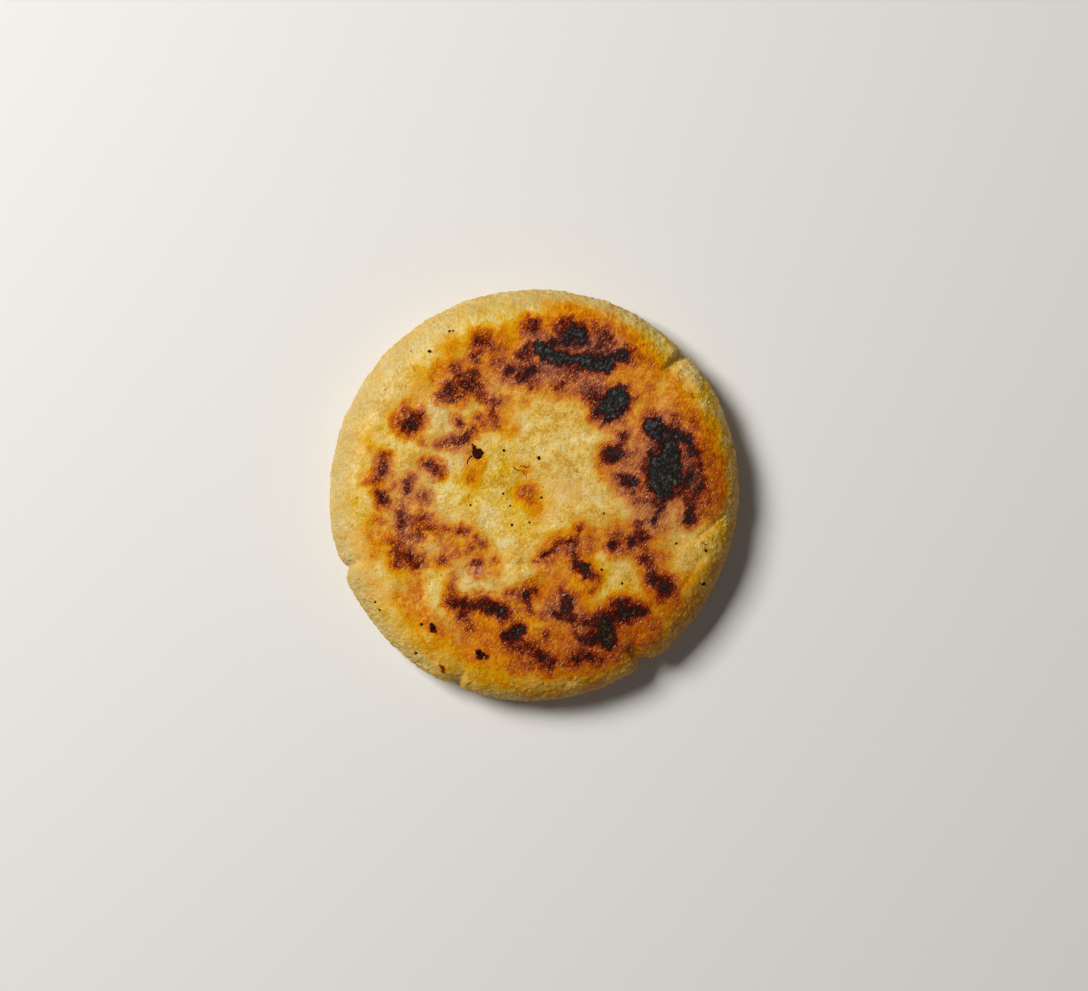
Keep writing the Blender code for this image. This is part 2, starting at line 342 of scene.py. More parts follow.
        (-5.4, -36, -3.6, -37.4, 1.8, 0.64), (-8, -37, -6.6, -37.8, 1.2, 0.54),
        (-3, -38.6, -0.6, -38.6, 1.4, 0.57), (1, -40, 3.4, -41, 1.6, 0.7),
        (-0.6, -40.6, 3.2, -43.4, 1.3, 0.54), (2.5, -34.4, 1.1, 0.58),
        (20.4, -27.4, 22.4, -27.2, 1.6, 0.8), (21.8, -25.8, 0.8, 0.68),
        (22.4, -28.7, 26.4, -28.5, 1.4, 0.8), (25.2, -26.9, 0.9, 0.56), (15.8, -31, 21, -29.3, 1.7, 0.8),
        (20.4, -31, 23.4, -31.2, 0.9, 0.62), (12.4, -31.2, 14.8, -32, 1.2, 0.62),
        (17.6, -33, 17.9, -36.2, 1.8, 0.92), (13, -35.2, 16.4, -35.5, 1.5, 0.84),
        (18.4, -36.8, 0.9, 0.72), (9.4, -33.6, 11, -35.8, 1, 0.57), (10, -40.7, 13.6, -40, 1.2, 0.78),
        (11.4, -38.9, 0.9, 0.6), (8, -40.8, 0.8, 0.66), (15, -41.5, 16.4, -41, 0.9, 0.64),
        (16.6, -38.4, 1.2, 0.5),
    ],
}

# the marks and the ground are moved this far, in mm, and a group of marks a little further
topShift = (0.5, -0.7)
groupShifts = {
    "top band": (0.0, -0.5), "under the band": (0.0, -0.1), "upper left": (0.1, -0.1), "left": (0.4, 0.4),
    "middle": (-0.3, 0.4), "lower middle": (-0.3, 0.3), "upper right": (-0.5, -0.5), "right": (-0.7, -0.1),
    "bottom left": (0.2, 0.2), "bottom": (0.1, 0.2),
}

# the broad golden and orange ground that the marks stand in
goldenGround = [
    (-21, 38, 2.6, 0.24), (-12, 39, -5, 40.6, 3, 0.27), (-2, 41.6, 9, 43.8, 2.6, 0.32),
    (9, 45.6, 18, 43.4, 2.6, 0.34), (3, 48, 12, 47, 1.8, 0.24), (19, 41.6, 25, 37, 3, 0.38),
    (25, 37, 29.6, 33.6, 2.6, 0.36), (4, 38, 14, 37, 7, 0.38), (-4, 32, 6, 31, 5, 0.34),
    (14, 29.6, 22, 29, 3.6, 0.26), (2, 31, 16, 30, 3.4, 0.46), (25, 32, 34, 28, 3.6, 0.22),
    (-21, 31, -15, 30, 4.4, 0.31), (-12, 21, -16, 17, 3, 0.18), (-13, 36.6, -9, 35.4, 2, 0.43),
    (4, 28.4, 15, 28, 3, 0.4), (-6, 25, -3, 24, 2.2, 0.22), (17, 21.4, 19.6, 18, 2.8, 0.34),
    (22, 19, 26, 13, 3, 0.36), (26, 12, 26, 5, 2.6, 0.4), (-9, 24, -7, 18, 3, 0.2),
    (-33, 21, -31, 20.6, 2.4, 0.12), (-41.6, 13.6, 2.6, 0.16), (-38.6, 8, -40, 4, 2.4, 0.2),
    (-27, 6.6, 3, 0.14), (-36, 1, -32, 1, 3.6, 0.2), (-33, -8, -32, -15, 4, 0.26),
    (-28, -8.6, -21, -11, 2.6, 0.24), (-24, -15, -15, -14, 3, 0.24), (-30.5, -21, -29, -26, 2, 0.3),
    (-33, -26, -29, -30, 3, 0.24), (-2, 1, 0.6, -2, 3.4, 0.22), (-2, 2, 2.4, 0.36),
    (-4, 8, -2, 6, 2, 0.14), (-15, -17, -11, -18, 2.4, 0.28), (-16, 10.6, -15, 10, 2.2, 0.32),
    (-16, 8.4, -15.6, 5, 2.2, 0.22), (-41, -8, -40.4, -13, 2.6, 0.24), (-30, 24, -28, 29, 2.4, 0.2),
    (18, 8, 23, 3, 3.2, 0.27), (24, 11, 22.6, 3, 3.2, 0.45), (3, 2.6, 9, 1.2, 2.6, 0.12),
    (28.6, -0.6, 29.4, -6.6, 3.6, 0.4), (35, 19.4, 40, 15.6, 5, 0.35), (35.6, 25.6, 3, 0.37),
    (37, -3, 39, -5, 2.4, 0.28), (40.6, 10, 42, -2, 4, 0.38), (45, 8, 45.5, 0, 2.2, 0.36),
    (20, 22, 26, 25, 4.6, 0.32), (5, -14, 10, -15.6, 3, 0.41), (5, -12, 13, -11, 2.6, 0.43),
    (1, -15, 2, 0.2), (20, -9, 28, -8.4, 2.4, 0.47), (20, -12.4, 27, -12.4, 2.6, 0.36),
    (29, -17, 32, -23, 3.2, 0.34), (-19, -27.4, -8, -29, 3.6, 0.32), (-3, -26, 8, -26.4, 3.8, 0.37),
    (-16, -35, -5, -38, 5.6, 0.34), (-2, -38, 12, -38.6, 4.4, 0.42), (6, -30.6, 12, -32, 2.4, 0.32),
    (13, -31.6, 22, -30.4, 4.2, 0.38), (22, -34, 27, -34, 4.4, 0.37), (-5, -41.2, 8, -42.2, 2.6, 0.37),
    (-16, -30, -11, -32, 4, 0.3), (-26, -36, 3.6, 0.22), (-26, -31, -22, -34, 2.6, 0.26),
    (14, -42, 20, -38, 3, 0.4), (33.6, -26.4, 3, 0.35), (36, -21, 38, -20.4, 2, 0.26),
    (3, -19.4, 11, -21.4, 3, 0.27), (-38, -24, -29, -36, 4.5, 0.13), (-24, -40, -8, -45, 4, 0.14),
    (40, -20, 31, -34, 4.6, 0.1), (-44, -10, -42, -20, 3, 0.12),
]

# places on the oily side that stayed drier, where the painted shade is lighter too: (x, y, to x, to y, half
# width, edge, how much drier)
drierLessShadedPlaces = [(45, -9, 37, -18, 4, 8, 0.55), (24, -20, 20, -22, 3, 6, 0.25), (44, -22, 27, -40, 2, 6, 0.2)]

# where the ground is drier and paler, from 0 to 1, or oilier and more golden, from 0 to -1
dryGround = [
    (-25, 21, -20, 11, 4, 0.5), (-30, 4, -26, -4, 4, 0.3), (-27, -12, -20, -20, 4, 0.3),
    (-6, 31, 4, 33, 3, 0.5), (4, 32, 15, 31, 3, 0.5), (18, 19, 26, 13, 4, 0.4), (24, 9, 23, 2, 4, 0.5),
    (28, -4, 36, -5, 4, 0.9), (0, 40, 20, 38, 3, 1), (31, 12, 38, 5, 3, 0.5),
    (-40, 11, -39, 8, 2.5, 0.8), (-34, 3, -33, -10, 3, 0.5), (5, -27, 9, -27, 2, 0.6),
    (12, 28, 17, 27, 2, 0.7), (33, 22, 40, 5, 3, 0.6), (-10, 29, -10, 26, 2, 0.6),
    (4, -30, 10, -38, 4, 0.4), (-20, -20, -12, -20, 3, 0.4), (2, -6, 4, -6, 3, 0.5),
    (-44, 24, -48, 6, 5, 0.3), (-14, 42, 12, 45, 4, -0.7), (28, 38, 22, 40, 3, -0.7),
    (-33, 20, -39, 14, 3, -0.6), (-43, 15, -44, -4, 3, -0.6), (-22, 2, -8, -2, 3, -0.9),
    (-8, 12, -3, -7, 3, -0.6), (-28, 5, -27, 2, 3, 0.4), (-30, -7, -26, -8, 2, -0.7),
    (4, -8, 8, -8, 2, -0.8), (6, 8, 8, 4, 2, 0.5), (49, -8, 40, -30, 4, -1),
    (-38, -30, -18, -44, 5, -0.5), (-20, -47, 16, -50, 3, -0.8), (-44, 18, -38, 12, 2.4, -0.6),
    (44, 26, 47, 12, 3, -0.8), (41, -30, 20, -48, 4, -1), (19, -21, 22, -23, 2.4, -0.8),
    (-24, -18, -20, -26, 2.6, -0.7), (-30, 32, -18, 42, 3, -0.6), (-12, 46.6, -2, 47.6, 2.4, -0.6),
    (30, 39, 33, 35, 3, -0.9), (-37, -12, -35, -18, 3, -0.6), (-21, 2, -12, 8, 4, -0.6),
    (-6, -5, 0, -2, 4, -0.4), (-7, 16, -4, 12, 3, -0.3), (-12, -43, 14, -43, 5, -0.5),
    (14, -20, 26, -29, 5, -0.8), (40, -26, 34, -34, 5, -0.7), (44, 14, 46, 4, 4, -0.6),
    (36, 22, 40, 26, 4, -0.4), (-12, -31, 4, -36, 5, -0.5), (-3, -23, -1, -22, 2, -0.6),
]

# small burnt specks and pinholes, crisp at their edges: (x, y, half width)
pinholes = [
    (-7.6, 11.3, 0.36), (1.2, 9.4, 0.48), (-26.3, 36.3, 0.5), (-28.3, -32.3, 0.4), (43.1, -13.8, 0.4),
    (42.6, -22.3, 0.5), (22, -22.1, 0.3), (-40, -26.8, 0.35), (-38.9, -28.8, 0.35), (-29.8, -39.6, 0.4),
    (-7.8, 0.5, 0.3), (-16, -2.4, 0.28), (1.8, -0.5, 0.32), (-5.6, -7.4, 0.36), (-1.2, -6.8, 0.28),
    (17.5, -4.5, 0.28), (-6.1, -2.6, 0.25), (35.6, -12, 0.3), (16.9, -18.6, 0.35),
]

# deeper burnt pits: (x, y, to x, to y, half width)
burntPits = [
    (-14.2, -39.3, -12.8, -39.8, 0.75), (-25.8, -32.8, -25.5, -32.9, 0.75), (-23.1, -43.1, -22.9, -43.9, 0.3),
]

# cracks and folds in the crust: (x, y, to x, to y, half width), followed by how deep they go, in mm
creases = [
    (37.4, 34.6, 33.9, 31.5, 0.9, 0.9), (49.6, -4.6, 45.2, -6.2, 0.8, 0.5),
    (45.2, -6.2, 40.7, -9.9, 0.8, 0.4), (26.4, -42.6, 23.3, -38.1, 0.9, 0.9),
    (23.3, -38.1, 20.6, -35.6, 0.7, 0.35), (-17, -17.5, -10, -16.6, 0.8, 0.3),
    (-10, -16.6, -1, -16.2, 0.8, 0.35), (-1, -16.2, 3.4, -13.4, 0.8, 0.35),
    (3.4, -13.4, 9, -11, 0.8, 0.3), (-29, -19, -28.4, -25, 0.8, 0.35),
    (-28.4, -25, -26.6, -30, 0.8, 0.25), (35.6, -23, 38.6, -20.4, 1.3, 0.2),
    (38.6, -20.4, 41.6, -15.6, 1.2, 0.22), (-22.6, -24.6, -12, -24.2, 0.8, 0.3),
    (30, 31, 36, 27, 0.8, 0.25), (-14.8, -20.4, -14.2, -20.8, 0.8, 0.5),
    (14, -12.6, 22, -16.4, 0.9, 0.22), (-20, 4, -10, 8, 1.2, 0.2),
]

# pale ridges of dough that stand beside them: the same, and how high they stand
ridges = [
    (-18, -21.6, -6, -20, 1.6, 0.2), (-6, -20, 3, -17.8, 1.5, 0.2), (36, -15.6, 44, -9.6, 2.2, 0.2),
    (40, -22, 44.6, -16, 1.8, 0.2), (25, -37, 29.6, -35.8, 1.6, 0.4),
    (24.2, -41.4, 26.4, -40.6, 0.9, 0.3), (-31, -8, -27, -26, 1.8, 0.15), (-27, 24, -14, 22, 2.2, 0.15),
    (-18, 12, -6, 14, 2.4, 0.12), (18, -17, 26, -19, 2.2, 0.15), (-25, -4, -16, -9, 2.4, 0.15),
]

# how the marks spread on the crust, in mm where no unit is given
toasting = {
    "swell": 1.12,  # each mark's half width is multiplied by this
    "grow": 0.34,  # and then grows by this
    "gather": 5,  # the lower this is, the more close marks add to each other
    "coreHeat": 1.03,
    "coreEdge": 2.7,  # the width over which a mark, its halo and the ground fade out
    "haloEdge": 4.2,
    "groundEdge": 6.5,
    "groundHeat": 0.86,
    "halo": (1.1, 0.44),  # how far a golden halo reaches past its mark, and its share of the heat
    "drift": [(3.4 * mm, 0.35), (1.5 * mm, 0.5), (0.85 * mm, 0.25)],  # size of the wander, and reach
    "drag": (0.95 * mm, 0.7),  # width of the streaks, and how far they drag the marks' edges
    "dragTurn": 54,  # degrees from +X, the way the streaks run
    "dragStretch": 3.2,
    "oilyShadedTurn": -42,  # degrees from +X, where the cake lay in most oil, away from the key light, and where the painted shade is deepest
    "palestLitTurn": 150,  # and where its rim is palest, towards the key light, as painted light
}

crustShape = {
    "voxel": 0.42 * mm,
    "mostTriangles": 190000,
    "lumps": (5.5 * mm, 0.26 * mm),  # size and height of each kind of relief
    "knobs": (2.6 * mm, 0.15 * mm),
    "grains": (1.1 * mm, 0.13 * mm),
    "rimGrains": (1.4 * mm, 0.24 * mm),
    "blisters": (3.0 * mm, 0.08 * mm),
    "streaks": (0.95 * mm, 0.16 * mm),
}


def nearLine(spots, ends, halfWidth, edge):
    # 1 on the line between two ends or on a lone spot, fading to 0 over its edge
    start, end = np.array(ends[:2], float), np.array(ends[-2:], float)
    line = end - start
    along = np.clip((spots - start) @ line / max(line @ line, 1e-9), 0, 1)
    away = np.linalg.norm(spots - start - along[:, None] * line, axis=1)
    return smooth(-0.5, 0.5, (halfWidth - away) / edge)


def markHeat(spots, marks, edge):
    # the heat each spot feels: even within a mark, fading over its edge, wider for a hot one
    gather = toasting["gather"]
    total = np.zeros(len(spots))
    for *ends, halfWidth, heat in marks:
        halfWidth = halfWidth * toasting["swell"] + toasting["grow"]
        fade = min(edge * (0.7 + 0.6 * heat), 2.4 * halfWidth)
        total += (heat * nearLine(spots, ends, halfWidth, fade)) ** gather
    return total ** (1 / gather)


def alongStreaks(places):
    # the same places turned and squeezed, so that noise there comes out as streaks
    turn = math.radians(toasting["dragTurn"])
    along = (places[:, 0] * math.cos(turn) + places[:, 1] * math.sin(turn)) / toasting["dragStretch"]
    across = places[:, 1] * math.cos(turn) - places[:, 0] * math.sin(turn)
    return np.stack([along, across, places[:, 2]], axis=1)


def shifted(mark, shift):
    # a spot or a streak moved by a shift in x and y
    ends = [value + shift[index % 2] for index, value in enumerate(mark[:-2])]
    return (*ends, *mark[-2:])


def toastOn(spots, places):
    # each mark is a burnt core in a golden halo, and all of it stands in patchy golden ground
    scorches = [shifted(mark, groupShifts[name]) for name, group in griddleMarks.items() for mark in group]
    haloReach, haloHeat = toasting["halo"]
    halos = [(*ends, halfWidth + haloReach, haloHeat * heat) for *ends, halfWidth, heat in scorches]
    patchy = 1 + 0.3 * noiseAt(places, 4 * mm, 6.1) + 0.25 * noiseAt(places, 1.8 * mm, 2.2)
    streaky = alongStreaks(places)
    patchy += 0.2 * noiseAt(streaky, 0.9 * mm, 7.7)
    core = markHeat(spots, scorches, toasting["coreEdge"])
    ground = toasting["groundHeat"] * markHeat(spots, goldenGround, toasting["groundEdge"])
    around = (markHeat(spots, halos, toasting["haloEdge"]) ** 3 + ground ** 3) ** (1 / 3)
    ragged = 1 + 0.2 * noiseAt(places, 2.1 * mm, 9.4) + 0.2 * noiseAt(streaky, 0.8 * mm, 4.4)
    return ((toasting["coreHeat"] * core * ragged) ** 4 + (around * patchy) ** 4) ** 0.25


def shiftAt(spots):
    # the shift of the marks and the ground, fading to none at the rim
    reach = np.hypot(*spots.T) / markedRadius
    return np.array(topShift) * (1 - smooth(0.8, 1.0, reach))[:, None]


def onCake(places):
    # places as seen from above, in the marks' own millimetres
    spots = (places - np.array(cakeMiddle))[:, :2] / cakeRadius * markedRadius
    return spots - shiftAt(spots)


def griddleHeat(places):
    # how deeply each place is toasted, on the top and, turned over, on the underside
    spots = onCake(places)
    for size, reach in toasting["drift"]:
        spots = spots + reach * driftAt(places, size)[:, :2]
    width, reach = toasting["drag"]
    turn = math.radians(toasting["dragTurn"])
    dragged = noiseAt(alongStreaks(places), width, 3.3)[:, None]
    spots = spots + reach * dragged * np.array([math.cos(turn), math.sin(turn)])
    height = places[:, 2] / cakeHeight
    turned = spots @ np.array([[0.34, 0.94], [0.94, -0.34]])
    top = toastOn(spots, places) * smooth(0.55, 0.9, height)
    return np.maximum(top, toastOn(turned, places) * (1 - smooth(0.06, 0.3, height)))


def oilSoakAndShade(places):
    # one side lay in more oil, and it is the side away from the key light: the dough there is darker and a
    # deeper yellow, partly from the oil and partly as painted shade, and glossier
    spots = onCake(places)
    turn = math.radians(toasting["oilyShadedTurn"])
    towards = spots / markedRadius @ np.array([math.cos(turn), math.sin(turn)])
    drierLessShaded = np.zeros(len(places))
    for *ends, halfWidth, edge, share in drierLessShadedPlaces:
        drierLessShaded += share * nearLine(spots, ends, halfWidth, edge)
    return smooth(0.05, 1.05, towards - drierLessShaded + 0.12 * noiseAt(places, 9 * mm, 4.2))


def rimPalenessAndLight(places):
    # the rim never touched the griddle, so it is creamier, most of all on the side away from the oil; that
    # side faces the key light, and the extra paleness there is painted light
    spots = onCake(places) / markedRadius
    turn = math.radians(toasting["palestLitTurn"])
    away = spots @ np.array([math.cos(turn), math.sin(turn)])
    reach = np.hypot(*spots.T)
    paler = smooth(0.84, 0.97, reach) * (1 - 0.35 * smooth(0.965, 1.0, reach))
    return paler * (0.08 + 0.92 * smooth(-0.75, 0.55, away))


def pitHeat(places):
    spots = onCake(places) + 0.6 * driftAt(places, 1.3 * mm, 6.6)[:, :2]
    heat = np.zeros(len(places))
    for *ends, halfWidth in burntPits:
        heat = np.maximum(heat, nearLine(spots, ends, halfWidth + 0.2, 1.0))
    return 0.88 * heat * smooth(0.5, 0.8, places[:, 2] / cakeHeight)


def dryness(places):
    spots = onCake(places) + 1.5 * driftAt(places, 5 * mm, 8.8)[:, :2]
    dry = np.zeros(len(places))
    for *ends, halfWidth, strength in dryGround:
        dry += strength * nearLine(spots, ends, halfWidth, 5)
    return np.clip(dry, -1, 1)


def creaseDepth(places):
    # how far each place is sunk in a crack, a fold or a burnt pit, or stands up on a ridge
    spots = onCake(places) + 0.6 * driftAt(places, 2 * mm, 5.1)[:, :2]
    depth = np.zeros(len(places))
    for *ends, halfWidth, deep in creases:
        depth += deep * nearLine(spots, ends, halfWidth * 0.5, 1.3 * halfWidth)
    for *ends, halfWidth, high in ridges:
        depth -= high * nearLine(spots, ends, halfWidth, 1.6 * halfWidth)
    for *ends, halfWidth in burntPits:
        depth += 0.3 * nearLine(spots, ends, halfWidth, 0.8)
    return depth * smooth(0.5, 0.85, places[:, 2] / cakeHeight)


def makeCrust():
    crust = bpy.data.objects.new("crust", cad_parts["arepa"].data.copy())
    bpy.context.scene.collection.objects.link(crust)
    selectOnly(crust)
    bpy.ops.object.mode_set(mode="EDIT")
    bpy.ops.mesh.select_all(action="SELECT")
    bpy.ops.mesh.remove_doubles(threshold=0.01 * mm)
    bpy.ops.mesh.tris_convert_to_quads()
    bpy.ops.object.mode_set(mode="OBJECT")
    applyModifier(crust, "SUBSURF", levels=2, render_levels=2)
    applyModifier(crust, "REMESH", mode="VOXEL", voxel_size=crustShape["voxel"], use_smooth_shade=True)
    thinUnderside(crust)
    return crust


def thinUnderside(crust):
    places = pointsOf(crust.data)
    group = crust.vertex_groups.new(name="underside")
    low = np.flatnonzero(places[:, 2] < 0.03 * cakeHeight)
    group.add([int(index) for index in low], 1.0, "REPLACE")
    triangles = sum(len(face.vertices) - 2 for face in crust.data.polygons)
    share = min(1.0, crustShape["mostTriangles"] / triangles)
    applyModifier(crust, "DECIMATE", ratio=share, vertex_group="underside")
    crust.vertex_groups.clear()
    print("crust:", triangles, "triangles thinned to", len(crust.data.polygons), "faces")


def raiseRelief(crust):
    mesh = crust.data
    places = pointsOf(mesh)
    normals = normalsOf(mesh)
    depth = creaseDepth(places)
    reach = np.hypot(*(places - np.array(cakeMiddle))[:, :2].T) / cakeRadius
    rim = smooth(0.84, 0.95, reach) * smooth(0.02, 0.2, places[:, 2] / cakeHeight)
    onTop = smooth(0.0, 0.12, places[:, 2] / cakeHeight)
    heat = np.maximum(griddleHeat(places), pitHeat(places))
    toasted = smooth(0.2, 0.5, heat)
    size, height = crustShape["lumps"]
    rise = height * noiseAt(places, size)
    size, height = crustShape["knobs"]
    rise += height * noiseAt(places, size, 3.1)
    size, height = crustShape["grains"]
    gap = grainAt(places, size)[1]
    rise += height * (np.minimum(gap * 2.2, 1) - 0.6) * (1 - 0.6 * toasted)
    size, height = crustShape["rimGrains"]
    middle = grainAt(places, size, 8.7)[0]
    rise += height * rim * (1 - smooth(0.15, 0.75, middle))
    size, height = crustShape["blisters"]
    rise += height * toasted * noiseAt(places, size, 5.5)
    size, height = crustShape["streaks"]
    rise += height * toasted * (0.6 - 2 * np.abs(noiseAt(alongStreaks(places), size, 2.5)))
    places = places + normals * (rise * onTop)[:, None]
    places[:, 2] -= depth * mm
    places[:, 2] = np.maximum(places[:, 2], 0)
    setPoints(mesh, places)
    paintPoints(mesh, "toast", heat)
    # the oil soak carries painted shade on the side away from the key light, and the rim paleness carries
    # painted light on the side towards it
    paintPoints(mesh, "oilAndShade", oilSoakAndShade(places))
    paintPoints(mesh, "pale", rimPalenessAndLight(places))
    paintPoints(mesh, "dry", dryness(places))
    mesh.shade_smooth()


# colours from bare dough, through golden, orange and maroon, to char
toastStops = [
    (0.00, linear(228, 188, 92)),
    (0.12, linear(224, 161, 46)),
    (0.21, linear(218, 140, 26)),
    (0.30, linear(207, 114, 16)),
    (0.38, linear(188, 91, 14)),
    (0.46, linear(164, 66, 14)),
    (0.54, linear(136, 43, 12)),
    (0.62, linear(106, 26, 8)),
    (0.70, linear(86, 17, 4)),
    (0.79, linear(64, 12, 5)),
    (0.88, linear(42, 11, 8)),
    (0.95, linear(29, 20, 18)),
    (1.00, linear(31, 33, 33)),
]

doughFinish = {
    "cream": linear(238, 214, 148),
    "yellow": linear(229, 190, 94),
    "gold": linear(214, 160, 50),
    # painted shade for the hollows between grains
    "shade": linear(190, 146, 60),
    # pale grain tips, partly painted highlights
    "grains": linear(246, 228, 174),
    "rim": linear(198, 172, 108),
    # crisp tips, partly painted glints
    "crispTipsAndGlints": linear(230, 148, 98),
    # grey ash on the char, partly painted glints
    "ashAndGlints": linear(110, 112, 110),
    "oiledAndShaded": (0.65, 0.41, 0.05, 1.0),  # what a soaked place keeps of its colour, darkened partly by oil and partly as painted shade
    "specular": 0.05,
    "coatRoughness": 0.16,
    "glow": 0.06,  # how much light goes in and comes out again
    "glowReach": 0.9 * mm,
}

# the size, detail and roughness of each noise in the dough
doughGrains = {
    "clouds": (6 * mm, 2.0, 0.5),
    "patches": (2.2 * mm, 2.0, 0.55),
    "crumbs": (0.85 * mm, 2.0, 0.6),
    "grit": (0.4 * mm, 1.0, 0.6),
    "streaks": (0.4 * mm, 2.0, 0.65),
}


def crustFinish():
    material, tree, shader, coordinates = newFinish("griddled corn dough")
    # oil carries the oil soak with its painted shade, pale the rim paleness with its painted light
    heat, oilAndShade, pale, dry = [painted(tree, name) for name in ("toast", "oilAndShade", "pale", "dry")]
    clouds = grainOf(tree, coordinates, *doughGrains["clouds"]) - 0.5
    patches = grainOf(tree, coordinates, *doughGrains["patches"]) - 0.5
    crumbs = grainOf(tree, coordinates, *doughGrains["crumbs"]) - 0.5
    grit = grainOf(tree, coordinates, *doughGrains["grit"]) - 0.5
    turned = {"Vector": coordinates, "Scale": (toasting["dragStretch"], 1, 1)}
    turned["Rotation"] = (0, 0, math.radians(toasting["dragTurn"]))
    lengthways = addNode(tree, "ShaderNodeMapping", {"vector_type": "TEXTURE"}, turned)
    streaks = grainOf(tree, lengthways, *doughGrains["streaks"]) - 0.5
    creamy = clouds * 1.5 + patches * 1.3 + crumbs * 0.9 + grit * 0.6
    dough = mixColours(tree, creamy.between(-0.34, 0.0), doughFinish["gold"], doughFinish["yellow"])
    dough = mixColours(tree, creamy.between(0.0, 0.44), dough, doughFinish["cream"])
    # the rim's cream, paler on the side towards the key light as painted light
    dough = mixColours(tree, (pale * 0.75 + pale * patches * 1.4).held(), dough, doughFinish["rim"])
    # painted shade: a darker colour in the hollows between grains, where crumbs and grit run low
    hollowShade = (0.0 - crumbs * 0.9 - grit * 0.9).between(0.05, 0.34) * (0.42 - pale * 0.2)
    dough = mixColours(tree, hollowShade, dough, doughFinish["shade"])
    # pale tips of the grains, partly pale corn and partly painted highlights on the raised grit
    paleGrainsAndHighlights = (crumbs * 0.6 + grit * 1.3).between(0.12, 0.34) * 0.45
    dough = mixColours(tree, paleGrainsAndHighlights, dough, doughFinish["grains"])
    # how uneven the toast is: calm on bare dough, lively on the brown, calm again on the char
    lively = 0.2 + heat.between(0.06, 0.3) * 0.8 + heat.between(0.25, 0.5) * 0.5
    lively = lively - heat.between(0.75, 1.0) * 0.8
    unevenness = patches * 0.42 + crumbs * 0.46 + grit * 0.38 + streaks * heat.between(0.2, 0.45) * 0.9
    toast = (heat + unevenness * lively).held()
    crust = addNode(tree, "ShaderNodeValToRGB", {"stops": toastStops}, {"Fac": toast})
    colour = mixColours(tree, toast.between(0.02, 0.22), dough, crust)
    # pale crisp tips on the brown, and grey ash on the char, both partly painted glints on the raised grain
    glints = streaks * 0.9 + grit * 0.8 + crumbs * 0.6 - heat.between(0.5, 0.72) * 0.065
    glints = glints.between(0.03, 0.24)
    ashAndGlintSpots = (crumbs * 0.9 + patches * 0.4 + streaks * 1.1).between(-0.04, 0.38)
    crisp = heat.between(0.14, 0.4) * (1.0 - heat.between(0.62, 0.88) * 0.85)
    colour = mixColours(tree, glints * crisp * 0.8, colour, doughFinish["crispTipsAndGlints"])
    colour = mixColours(tree, ashAndGlintSpots * heat.between(0.84, 0.98) * 0.72, colour, doughFinish["ashAndGlints"])
    tinted = {"Color": colour, "Saturation": 1.0 - dry * 0.1, "Value": 1.0 - dry.held() * 0.11}
    colour = addNode(tree, "ShaderNodeHueSaturation", None, tinted)
    # the oily side darker and a deeper yellow, partly oil and partly painted shade
    soakedAndShaded = mixColours(tree, 1.0, colour, doughFinish["oiledAndShaded"], "MULTIPLY")
    colour = mixColours(tree, oilAndShade, colour, soakedAndShaded)
    fried = heat.between(0.1, 0.4)
    rough = 0.58 - fried * 0.1 - oilAndShade * 0.12 + crumbs * 0.3
    height = (crumbs * 0.18 + grit * 0.18 + fried * streaks * 0.4 + patches * 0.1) * mm
    bump = addNode(tree, "ShaderNodeBump", None, {"Height": height, "Distance": 1.0, "Strength": 1.0})
    feed(tree, shader, Base_Color=colour, Roughness=rough, Normal=bump)
    feed(tree, shader, Coat_Weight=(0.08 + fried * 0.06 + oilAndShade * 0.2 - heat.between(0.4, 0.7) * 0.08).held())
    feed(tree, shader, Specular_IOR_Level=doughFinish["specular"])
    feed(tree, shader, Coat_Roughness=doughFinish["coatRoughness"])
    feed(tree, shader, Subsurface_Weight=doughFinish["glow"], Subsurface_Radius=(1.0, 0.55, 0.2))
    feed(tree, shader, Subsurface_Scale=doughFinish["glowReach"])
    return material


# dark and light colour, roughness and coat
speckColours = {
    "crisp fried thread": (linear(216, 132, 72), linear(248, 200, 150), 0.35, 0.8),
    "corn skin": (linear(122, 92, 30), linear(182, 142, 58), 0.5),
    "burnt crumb": (linear(20, 5, 3), linear(70, 26, 12), 0.5),
    "burnt corn skin": (linear(104, 48, 16), linear(156, 88, 34), 0.5),
}


def speckFinish(name, dark, light, rough, coat=0.0):
    material, tree, shader, coordinates = newFinish(name)
    feed(tree, shader, Coat_Weight=coat, Coat_Roughness=0.1, Specular_IOR_Level=0.06)
    grit = grainOf(tree, coordinates, 0.3 * mm, 1.0, 0.6)
    colour = mixColours(tree, grit.between(0.35, 0.65), dark, light)
    height = {"Height": grit * 0.1 * mm, "Distance": 1.0, "Strength": 1.0}
    bump = addNode(tree, "ShaderNodeBump", None, height)
    feed(tree, shader, Base_Color=colour, Roughness=rough + grit * 0.2, Normal=bump)
    return material


def dress(piece, material):
    piece.data.materials.clear()
    piece.data.materials.append(material)
    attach(piece, "root")


def surfaceOf(crust):
    # what the loose and half buried things land on
    return BVHTree.FromPolygons(
        [vertex.co.copy() for vertex in crust.data.vertices],
        [tuple(face.vertices) for face in crust.data.polygons],
    )


def landOn(tree, spots, direction):
    # where each spot lands on the crust, with the crust's normal there
    landed = [tree.ray_cast(Vector(spot), Vector(toward))[:2] for spot, toward in zip(spots, direction)]
    kept = np.array([spot is not None for spot, normal in landed])
    places = np.array([tuple(spot) for spot, normal in landed if spot is not None])
    normals = np.array([tuple(normal) for spot, normal in landed if spot is not None])
    return places, normals, kept


def straightDown(spots):
    return np.tile([0.0, 0.0, -1.0], (len(spots), 1))


